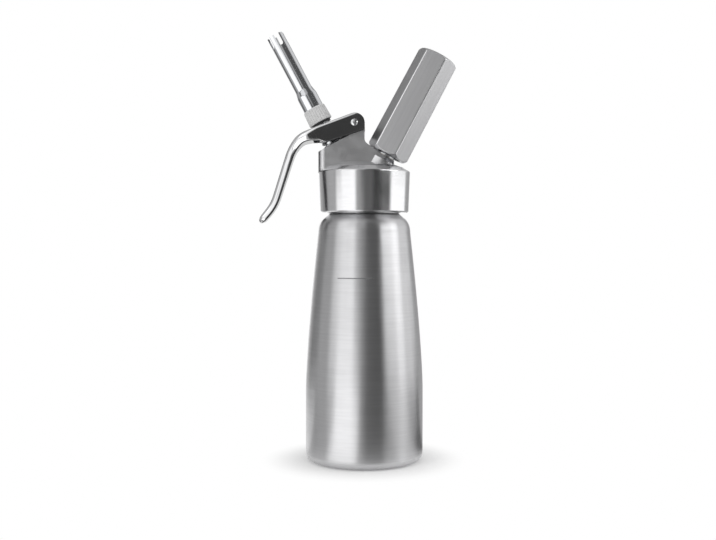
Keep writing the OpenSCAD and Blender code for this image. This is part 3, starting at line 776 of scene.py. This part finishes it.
def shade_evenly(piece: bpy.types.Object, sharp_deg: float, flat_weight: int = 80) -> None:
    """Shades an object as one smooth skin by modifiers, with sharp edges and large flat faces kept.

    Args:
        piece: the object.
        sharp_deg: edges that turn by more than this stay sharp.
        flat_weight: how much a corner's shading goes by its largest face.
    """
    piece.modifiers.new("even_shading", "NODES").node_group = shading_nodes(sharp_deg)
    flat = piece.modifiers.new("flat_faces", "WEIGHTED_NORMAL")
    flat.mode = "FACE_AREA"
    flat.weight = flat_weight
    flat.keep_sharp = True


def shading_nodes(sharp_deg: float, weld: float = 0.002 * MM) -> bpy.types.NodeTree:
    """Makes the geometry nodes that weld an object's facets and shade them smooth.

    Args:
        sharp_deg: edges that turn by more than this stay sharp.
        weld: corners nearer to each other than this become one.

    Returns:
        The node group.
    """
    name = f"even_shading_{sharp_deg:g}"
    if name in bpy.data.node_groups:
        return bpy.data.node_groups[name]
    tree = bpy.data.node_groups.new(name, "GeometryNodeTree")
    for in_out in ("INPUT", "OUTPUT"):
        tree.interface.new_socket("Geometry", in_out=in_out, socket_type="NodeSocketGeometry")
    graph = Graph(tree)
    source = graph.add("NodeGroupInput").outputs[0]
    bare = graph.add("GeometryNodeRemoveAttribute", {"Geometry": source, "Name": "custom_normal"}).outputs[0]
    welded = graph.add("GeometryNodeMergeByDistance", {"Geometry": bare, "Distance": weld}).outputs[0]
    angle = graph.add("GeometryNodeInputMeshEdgeAngle").outputs["Unsigned Angle"]
    compared = {0: angle, 1: math.radians(sharp_deg)}
    gentle = graph.add("FunctionNodeCompare", compared, data_type="FLOAT", operation="LESS_THAN").outputs[0]
    faces = graph.add("GeometryNodeSetShadeSmooth", {"Geometry": welded}, domain="FACE").outputs[0]
    shaded = {"Geometry": faces, "Shade Smooth": gentle}
    edges = graph.add("GeometryNodeSetShadeSmooth", shaded, domain="EDGE").outputs[0]
    graph.add("NodeGroupOutput", {0: edges})
    return tree


@dataclass(frozen=True)
class Winding:
    """A body that winds round an axis, from a start to an end measured along it."""

    name: str
    start: float
    end: float

    def ring(self, axis: Axis, turn: float) -> list[Vector]:
        """Returns the points round the body's cross-section after some turns."""
        raise NotImplementedError

    def wind(self, axis: Axis, turns: float, steps_per_turn: int) -> bpy.types.Object:
        """Winds the body.

        Args:
            axis: the axis that it winds round.
            turns: how many turns it makes.
            steps_per_turn: how many cross-sections a turn has.

        Returns:
            The body's object, closed at both ends.
        """
        rings = [self.ring(axis, i / steps_per_turn) for i in range(int(turns * steps_per_turn) + 1)]
        return new_object(self.name, lambda shape: join_rings(shape, rings))


@dataclass(frozen=True)
class Thread(Winding):
    """A screw thread's ridge. Its half widths are shares of the pitch."""

    root_r: float
    crest_r: float
    pitch: float
    sunk: float = 0.05 * MM
    half_root: float = 0.34
    half_crest: float = 0.09
    fading_turns: float = 0.25
    faded: float = 0.05
    sharp_deg: float = 40.0
    steps_per_turn: int = 48

    @property
    def turns(self) -> float:
        """The number of turns that the ridge makes."""
        return (self.end - self.start) / self.pitch

    def ring(self, axis: Axis, turn: float) -> list[Vector]:
        """Works out the ridge's cross-section after some turns.

        Args:
            axis: the thread's axis.
            turn: the number of turns from its start.

        Returns:
            The four corners of the section, lower where the ridge fades out.
        """
        fade = min(1.0, min(turn, self.turns - turn) / self.fading_turns)
        crest = self.root_r + (self.crest_r - self.root_r) * max(self.faded, fade)
        root, wide, thin = self.root_r - self.sunk, self.pitch * self.half_root, self.pitch * self.half_crest
        height, angle = self.start + turn * self.pitch, 2.0 * math.pi * turn
        corners = ((root, -wide), (crest, -thin), (crest, thin), (root, wide))
        return [axis.spot(radius, angle, height + rise) for radius, rise in corners]

    def build(self, axis: Axis) -> bpy.types.Object:
        """Winds the ridge.

        Args:
            axis: the thread's axis.

        Returns:
            The ridge's object.
        """
        piece = self.wind(axis, self.turns, self.steps_per_turn)
        shade_evenly(piece, self.sharp_deg)
        return piece


@dataclass(frozen=True)
class Coil(Winding):
    """A compression spring with closed ends."""

    coil_r: float
    wire_r: float
    turns: int = 6
    end_gap: float = 0.5 * MM
    steps_per_turn: int = 36
    wire_sides: int = 12

    def rise(self, turn: float) -> float:
        """Finds how far the wire's middle has risen after some turns.

        Args:
            turn: the number of turns from the spring's foot.

        Returns:
            The rise, slower over the first and last turn, where the ends close.
        """
        height = self.end - self.start - 2.0 * self.wire_r
        end_rise = 2.0 * self.wire_r + self.end_gap
        pitch = (height - 2.0 * end_rise) / (self.turns - 2)
        left = self.turns - turn
        if turn < 1.0:
            return end_rise * turn ** (pitch / end_rise)
        if left < 1.0:
            return height - end_rise * max(left, 0.0) ** (pitch / end_rise)
        return end_rise + pitch * (turn - 1.0)

    def ring(self, axis: Axis, turn: float) -> list[Vector]:
        """Works out the points round the wire after some turns.

        Args:
            axis: the spring's axis.
            turn: the number of turns from its foot.

        Returns:
            The points, evenly spread round the wire.
        """
        angle, height = 2.0 * math.pi * turn, self.start + self.wire_r + self.rise(turn)
        around = [2.0 * math.pi * j / self.wire_sides for j in range(self.wire_sides)]
        return [
            axis.spot(self.coil_r + self.wire_r * math.cos(a), angle, height + self.wire_r * math.sin(a))
            for a in around
        ]

    def build(self, axis: Axis) -> bpy.types.Object:
        """Winds the spring.

        Args:
            axis: the spring's axis.

        Returns:
            The spring's object, with a flat face at each end of its wire.
        """
        piece = self.wind(axis, self.turns, self.steps_per_turn)
        for cap in piece.data.polygons[-2:]:
            cap.use_smooth = False
        return piece


@dataclass
class Assembly:
    """A sub-assembly: the CAD nodes that it dresses and the pieces that it adds."""

    nodes: dict[str, bpy.types.Object]
    axes: dict[str, Axis]

    def dress(self, axis: str, **finishes: Finish) -> None:
        """Gives CAD nodes their finishes.

        Args:
            axis: the name of the axis that the finishes follow.
            finishes: the finish of each node, under the node's name.
        """
        for node, finish in finishes.items():
            material = finish.material(self.axes[axis])
            for slot in self.nodes[node].material_slots:
                slot.material = material
            log.info("%s: %s", node, material.name)

    def mount(self, piece: bpy.types.Object, body: str, slot: str, finish: Finish, axis: str) -> None:
        """Gives an added piece its finish and the body that it moves with.

        Args:
            piece: the piece's object.
            body: the body that it rides on.
            slot: the record's material slot; not used.
            finish: the finish.
            axis: the name of the axis that the finish follows.
        """
        piece.data.materials.append(finish.material(self.axes[axis]))
        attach(piece, body)
        log.info("%s: added, rides on %s", piece.name, body)


@dataclass
class Bottle(Assembly):
    """The steel bottle, its neck's thread and its fill mark."""

    thread: Thread = Thread(
        "neck_thread", 170.0 * MM, 182.2 * MM, root_r=24.0 * MM, crest_r=24.32 * MM, pitch=4.0 * MM
    )
    line_z: float = 122.0 * MM
    line_azimuth_deg: Range = (-30.0, 10.0)
    line_tall: float = 0.6 * MM
    line_proud: float = 0.02 * MM
    line_sunk: float = 0.25 * MM
    line_step_deg: float = 1.0
    well_outside: float = 200.0 * MM

    def build(self) -> None:
        """Dresses the bottle and adds its thread and its fill line."""
        self.dress("bottle", bottle=BRUSHED_BOTTLE)
        self.mount(self.thread.build(self.axes["bottle"]), "bottle", "bottle_steel", BRUSHED_BOTTLE, "bottle")
        self.mount(new_object("fill_line", self._fill_line), "bottle", "bottle_steel", ETCHED_LINE, "bottle")

    def _skin_radius(self, azimuth: float, height: float) -> float:
        """Finds the bottle's outer radius.

        Args:
            azimuth: the place's azimuth in radians, 0 on the camera's side and a quarter turn on +X.
            height: the place's height.

        Returns:
            The radius of the wall's outside there, or 0 where there is no wall.
        """
        way = Vector((math.sin(azimuth), -math.cos(azimuth), 0.0))
        start = way * self.well_outside + Vector((0.0, 0.0, height))
        found, spot, _, _ = self.nodes["bottle"].ray_cast(start, -way)
        return Vector((spot.x, spot.y)).length if found else 0.0

    def _fill_line(self, shape: bmesh.types.BMesh) -> None:
        """Lays the etched fill line round the bottle's front, a closed band that stands in the wall's skin.

        Args:
            shape: the empty bmesh.
        """
        low, high = self.line_z - self.line_tall / 2, self.line_z + self.line_tall / 2
        sunk, proud = -self.line_sunk, self.line_proud
        profile = ((low, sunk), (low, proud), (high, proud), (high, sunk))
        start, end = self.line_azimuth_deg
        steps = round((end - start) / self.line_step_deg)
        rings = []
        for i in range(steps + 1):
            azimuth = math.radians(start + (end - start) * i / steps)
            ring = []
            for height, out in profile:
                radius = self._skin_radius(azimuth, height) + out
                ring.append(Vector((radius * math.sin(azimuth), -radius * math.cos(azimuth), height)))
            rings.append(ring)
        join_rings(shape, rings)


@dataclass
class Head(Assembly):
    """The aluminium head with its gasket, guide bush and pin."""

    def build(self) -> None:
        """Dresses the head's nodes."""
        self.dress("bottle", head=TURNED_HEAD, head_gasket=PALE_SILICONE, lever_pin=POLISHED_PIN)
        self.dress("valve", valve_guide=WHITE_BUSH)


@dataclass
class Lever(Assembly):
    """The bent chrome lever."""

    sharp_deg: float = 32.0

    def build(self) -> None:
        """Dresses the lever and evens out its shading."""
        self.dress("valve", lever=MIRROR_CHROME)
        shade_evenly(self.nodes["lever"], self.sharp_deg)


@dataclass
class Valve(Assembly):
    """The stem with its spring, seals and nut."""

    thread: Thread = Thread(
        "stem_thread", 0.3 * MM, 7.0 * MM, root_r=4.75 * MM, crest_r=4.87 * MM, pitch=1.5 * MM
    )
    coil_r: float = 5.96 * MM
    wire_r: float = 0.55 * MM
    stroke: float = 4.2 * MM

    def build(self) -> None:
        """Dresses the valve and adds the stem's thread and the spring."""
        self.dress(
            "valve", valve_stem=TURNED_STEEL, valve_nut=TURNED_STEEL, valve_spring=SPRING_WIRE,
            valve_seal=BLACK_RUBBER, stem_o_rings=BLACK_RUBBER,
        )
        self.mount(self.thread.build(self.axes["valve"]), "valve", "stem_steel", TURNED_STEEL, "valve")
        self._spring()

    def _spring(self) -> None:
        """Puts in the coil spring."""
        axis = self.axes["valve"]
        corners = self.nodes["valve_spring"].data.vertices
        stations = [(corner.co - axis.point).dot(axis.way) for corner in corners]
        foot, top = min(stations), max(stations)
        spring = Coil("coil_spring", foot, top, self.coil_r, self.wire_r).build(axis)
        self.mount(spring, "head", "spring_steel", SPRING_WIRE, "valve")
        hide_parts("valve_spring")
        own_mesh(spring)


@dataclass
class Nozzle(Assembly):
    """The slotted nozzle tube with its ribbed collar and washer."""

    sharp_deg: float = 34.0

    def build(self) -> None:
        """Dresses the nozzle's nodes and evens out the tube's shading."""
        self.dress("valve", nozzle_tube=POLISHED_TUBE, nozzle_collar=WHITE_COLLAR, nozzle_washer=BLACK_RUBBER)
        shade_evenly(self.nodes["nozzle_tube"], self.sharp_deg)


@dataclass
class ChargerSide(Assembly):
    """The fitting, the gas charger and the hexagonal holder."""

    thread: Thread = Thread(
        "barrel_thread", 1.6 * MM, 9.6 * MM, root_r=9.8 * MM, crest_r=10.02 * MM, pitch=2.5 * MM
    )
    sharp_deg: float = 18.0

    def build(self) -> None:
        """Dresses the charger's side and adds the barrel's thread."""
        self.dress(
            "inlet", charger_holder=BRUSHED_HOLDER, inlet_fitting=PLATED_FITTING, gas_charger=DRAWN_STEEL,
            fitting_washer=NICKELLED_BRASS, inlet_filter=SINTERED_BRASS, piercing_pin=TURNED_STEEL,
            charger_seal=BLACK_RUBBER, check_sleeve=BLACK_RUBBER,
        )
        shade_evenly(self.nodes["charger_holder"], self.sharp_deg)
        self.mount(self.thread.build(self.axes["inlet"]), "head", "fitting_steel", PLATED_FITTING, "inlet")


# ---------------------------------------------------------------------------------------------------------
# Studio
# ---------------------------------------------------------------------------------------------------------


@dataclass(frozen=True)
class Softbox:
    """A studio lamp: where it stands round the object, its size and how bright it is to look at."""

    name: str
    azimuth_deg: float
    height: float
    distance: float
    width: float
    tall: float
    brightness: float
    aim_z: float = 0.14

    def build(self) -> None:
        """Hangs the lamp and aims it at the object. Azimuth 0 is the camera's side, and 90 is +X."""
        lamp = bpy.data.lights.new(self.name, "AREA")
        lamp.shape = "RECTANGLE"
        lamp.size, lamp.size_y = self.width, self.tall
        lamp.energy = self.brightness * math.pi * self.width * self.tall
        piece = bpy.data.objects.new(self.name, lamp)
        turn = math.radians(self.azimuth_deg)
        piece.location = (self.distance * math.sin(turn), -self.distance * math.cos(turn), self.height)
        aim = Vector((0.0, 0.0, self.aim_z)) - piece.location
        piece.rotation_euler = aim.to_track_quat("-Z", "Y").to_euler()
        piece.visible_camera = False
        piece.visible_glossy = False
        bpy.context.scene.collection.objects.link(piece)


@dataclass(frozen=True)
class Card:
    """A card on the surround: its span round the object and up it, in degrees, and how bright it looks.

    Azimuth 0 is the camera's side and 90 is +X. Rise is the angle above the level of the object's middle.
    """

    name: str
    azimuth: Range
    rise: Range
    brightness: float
    soft_azimuth: float = 8.0
    soft_rise: float = 5.0

    def cover(self, azimuth: float, rise: float) -> float:
        """Tells how much of the surround the card covers at a place.

        Args:
            azimuth: the place's azimuth, from -180 to 180.
            rise: the place's rise.

        Returns:
            The card's share there, from 0 outside it to 1 inside it, eased over its soft edges.
        """
        middle, half = sum(self.azimuth) / 2, (self.azimuth[1] - self.azimuth[0]) / 2
        aside = abs((azimuth - middle + 180.0) % 360.0 - 180.0)
        across = eased((half - aside) / self.soft_azimuth + 0.5)
        low, high = ((rise - self.rise[0]) / self.soft_rise, (self.rise[1] - rise) / self.soft_rise)
        return across * (eased(low + 0.5) * eased(high + 0.5))


def eased(share: float) -> float:
    """Returns a share held between 0 and 1 and eased at both ends."""
    held = min(max(share, 0.0), 1.0)
    return held * held * (3.0 - 2.0 * held)


@dataclass(frozen=True)
class Surround:
    """The grey tent round the object with its white and dark cards, which only reflections see."""

    middle_z: float = 0.14
    reach: float = 1.25
    roof: float = 1.39
    floor_gap: float = 0.001
    grey: float = 0.45
    lowest_rise: float = -69.0
    highest_rise: float = 89.0
    step_deg: float = 1.0
    cards: tuple[Card, ...] = (
        Card("rear_strip", (169.0, 205.0), (-80.0, 22.0), 1.20, 18.0),
        Card("rear_left_grey", (-134.0, -106.0), (-2.0, 26.0), 0.32, 12.0),
        Card("rear_left_dark", (-136.0, -104.0), (-26.0, -1.0), 0.15, 12.0),
        Card("rear_left_foot", (-166.0, -104.0), (-80.0, -26.0), 0.95, 10.0),
        Card("rear_right_grey", (134.0, 156.0), (-8.0, 90.0), 0.38, 12.0),
        Card("key_foot", (-54.0, -10.0), (-80.0, -12.0), 1.45, 9.0),
        Card("key", (-75.0, -21.5), (-14.0, 6.0), 1.40, 7.0, 4.0),
        Card("key_top", (-72.0, -20.0), (6.0, 62.0), 1.00, 12.0),
        Card("key_high", (-78.0, -50.0), (26.0, 44.0), 1.50, 10.0),
        Card("key_shade", (-60.0, -34.0), (5.0, 10.0), 0.25, 12.0, 3.0),
        Card("key_line", (-79.0, -58.0), (3.0, 10.0), 0.02, 8.0, 3.0),
        Card("front_grey", (-18.0, 66.0), (-14.0, 12.0), 0.38, 5.0),
        Card("front_grey_top", (-22.0, 20.0), (14.0, 90.0), 0.50, 6.0),
        Card("front_dark", (-2.0, 47.0), (-80.0, 14.0), 0.14, 14.0),
        Card("front_dark_top", (4.0, 74.0), (14.0, 64.0), 0.10, 12.0),
        Card("front_dark_level", (22.0, 68.0), (-7.0, 10.0), 0.05, 12.0, 2.0),
        Card("lever_dark", (-14.0, 7.0), (7.0, 14.0), 0.04, 4.0, 2.0),
        Card("lever_shade", (-9.0, 12.0), (1.0, 7.0), 0.12, 6.0, 2.0),
        Card("side_foot", (48.0, 88.0), (-80.0, -24.0), 0.45, 10.0),
        Card("side_under", (44.0, 88.0), (-24.0, -7.0), 1.00, 8.0),
        Card("side_foot_dark", (86.0, 126.0), (-80.0, -28.0), 0.02, 14.0),
        Card("side_low", (78.0, 112.0), (-28.0, -6.0), 0.75, 10.0),
        Card("side_low_dark", (112.0, 127.0), (-28.0, -6.0), 0.08, 6.0),
        Card("side", (70.0, 126.0), (-6.0, 5.0), 1.40, 8.0, 2.0),
        Card("side_upper", (41.0, 92.0), (10.0, 28.0), 3.00, 6.0, 2.0),
        Card("side_rear_upper", (94.0, 142.0), (8.0, 42.0), 0.80, 10.0),
        Card("side_top", (84.0, 130.0), (26.0, 60.0), 0.75, 10.0),
        Card("holder_dark", (-170.0, -142.0), (22.0, 44.0), 0.15, 8.0),
        Card("holder_black", (-176.0, -138.0), (12.0, 24.0), 0.01, 8.0, 3.0),
    )

    def shade(self, azimuth: float, rise: float) -> float:
        """Finds how bright the surround is at a place, with each card over those before it.

        Args:
            azimuth: the place's azimuth in degrees.
            rise: the place's rise in degrees.

        Returns:
            The brightness there.
        """
        value = self.grey
        for card in self.cards:
            value += (card.brightness - value) * card.cover(azimuth, rise)
        return value

    def place(self, azimuth: float, rise: float) -> Vector:
        """Finds where a line from the object's middle meets the surround.

        Args:
            azimuth: the line's azimuth in degrees.
            rise: the line's rise in degrees.

        Returns:
            The point on the floor, the wall or the roof.
        """
        turn, slope = math.radians(azimuth), math.tan(math.radians(rise))
        reach = self.reach
        if self.middle_z + reach * slope > self.roof:
            reach = (self.roof - self.middle_z) / slope
        elif self.middle_z + reach * slope < self.floor_gap:
            reach = (self.floor_gap - self.middle_z) / slope
        return Vector((reach * math.sin(turn), -reach * math.cos(turn), self.middle_z + reach * slope))

    def build(self) -> None:
        """Puts the tent up."""
        tent = new_object("surround", self._faces)
        material, graph = new_material("surround_cards")
        brightness = graph.add("ShaderNodeAttribute", attribute_name="brightness").outputs["Fac"]
        glow = graph.add("ShaderNodeEmission", {"Color": (1.0, 1.0, 1.0), "Strength": brightness})
        graph.add("ShaderNodeOutputMaterial", {"Surface": glow.outputs[0]})
        material.cycles.emission_sampling = "NONE"
        tent.data.materials.append(material)
        tent.visible_camera = False
        tent.visible_diffuse = False
        tent.visible_shadow = False
        tent.visible_transmission = False
        tent.visible_volume_scatter = False

    def _faces(self, shape: bmesh.types.BMesh) -> None:
        """Lays the tent's faces and writes each corner's brightness.

        Args:
            shape: the empty bmesh.
        """
        azimuths = [i * self.step_deg - 180.0 for i in range(round(360.0 / self.step_deg))]
        levels = int((self.highest_rise - self.lowest_rise) / self.step_deg) + 1
        rises = [self.lowest_rise + i * self.step_deg for i in range(levels)]
        layer = shape.verts.layers.float.new("brightness")
        rings = [[self.place(azimuth, rise) for azimuth in azimuths] for rise in rises]
        for rise, row in zip(rises, join_rings(shape, rings, caps=(-1,))):
            for azimuth, corner in zip(azimuths, row):
                corner[layer] = self.shade(azimuth, rise)


@dataclass(frozen=True)
class Studio:
    """The pale floor, the soft lamps, the reflection cards and the camera."""

    frame_px: tuple[int, int] = (716, 540)
    axis_px: float = 365.0
    focal_px: float = 977.1
    eye: tuple[float, float, float] = (0.0005, -0.6515, 0.1445)
    look_down_deg: float = 1.586
    sensor_mm: float = 36.0
    clip: Range = (0.01, 20.0)
    floor_half: float = 3.0
    floor_drop: float = 0.05 * MM
    floor_colour: Colour = (0.97, 0.97, 0.97)
    shadow_reach: Range = (0.034, 0.070)
    floor_glow: Range = (0.15, 1.0)
    ambient: float = 0.55
    lamps: tuple[Softbox, ...] = (
        Softbox("key_left", -48.0, 0.55, 1.25, 0.75, 1.2, 1.45),
        Softbox("fill_right", 92.0, 0.45, 1.25, 0.9, 1.2, 1.35),
        Softbox("top", 10.0, 1.5, 0.15, 1.0, 1.0, 1.1),
    )
    surround: Surround = Surround()

    def build(self) -> None:
        """Builds everything round the object."""
        self._floor()
        self._world()
        for lamp in self.lamps:
            lamp.build()
        self.surround.build()
        self._camera()
        bpy.context.scene.view_settings.view_transform = "Standard"

    def _floor(self) -> None:
        """Lays a floor that keeps the object's shadow and fades to plain white further out."""
        floor = new_object("floor", self._floor_face)
        floor.location.z = -self.floor_drop
        material, graph = new_material("pale_floor")
        place = graph.add("ShaderNodeTexCoord").outputs["Object"]
        reach = graph.vector_math("LENGTH", place, output="Value")
        away = graph.ramp(reach, *self.shadow_reach, *self.floor_glow)
        share = graph.math("MULTIPLY", away, graph.seen_directly())
        plain = graph.add("ShaderNodeBsdfDiffuse", {"Color": self.floor_colour})
        white = graph.add("ShaderNodeEmission", {"Color": (1.0, 1.0, 1.0), "Strength": 1.0})
        mix = graph.add("ShaderNodeMixShader", {0: share, 1: plain.outputs[0], 2: white.outputs[0]})
        graph.add("ShaderNodeOutputMaterial", {"Surface": mix.outputs[0]})
        floor.data.materials.append(material)

    def _floor_face(self, shape: bmesh.types.BMesh) -> None:
        """Lays the floor's one face.

        Args:
            shape: the empty bmesh.
        """
        half = self.floor_half
        corners = ((-half, -half), (half, -half), (half, half), (-half, half))
        shape.faces.new([shape.verts.new((x, y, 0.0)) for x, y in corners])

    def _world(self) -> None:
        """Makes a white surround that lights the object at a plain level."""
        world = bpy.data.worlds.new("studio")
        world.use_nodes = True
        graph = Graph(world.node_tree)
        strength = graph.math("MULTIPLY_ADD", graph.seen_directly(), 1.0 - self.ambient, self.ambient)
        sky = graph.add("ShaderNodeBackground", {"Color": (1.0, 1.0, 1.0), "Strength": strength})
        graph.add("ShaderNodeOutputWorld", {"Surface": sky.outputs[0]})
        bpy.context.scene.world = world

    def _camera(self) -> None:
        """Sets the camera where the photograph was taken from."""
        data = bpy.data.cameras.new("camera")
        width = self.frame_px[0]
        data.sensor_width = self.sensor_mm
        data.lens = self.focal_px / width * self.sensor_mm
        data.shift_x = (width / 2 - self.axis_px) / width
        data.clip_start, data.clip_end = self.clip
        camera = bpy.data.objects.new("camera", data)
        camera.location = self.eye
        camera.rotation_euler = (math.radians(90.0 - self.look_down_deg), 0.0, 0.0)
        bpy.context.scene.collection.objects.link(camera)
        bpy.context.scene.camera = camera


def main() -> None:
    """Dresses the dispenser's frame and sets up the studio."""
    logging.basicConfig(level=logging.INFO, format="%(name)s: %(message)s")
    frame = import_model()
    joints = frame["joints"]
    axes = {
        "bottle": Axis("bottle", Vector((0.0, 0.0, 0.0)), Vector((0.0, 0.0, 1.0))),
        "valve": Axis.of_joint("valve", joints, "nozzle_unscrew"),
        "inlet": Axis.of_joint("inlet", joints, "holder_unscrew"),
    }
    for assembly in (Bottle, Head, Lever, Valve, Nozzle, ChargerSide):
        assembly(frame["nodes"], axes).build()
    Studio().build()


if __name__ == "__main__":
    main()
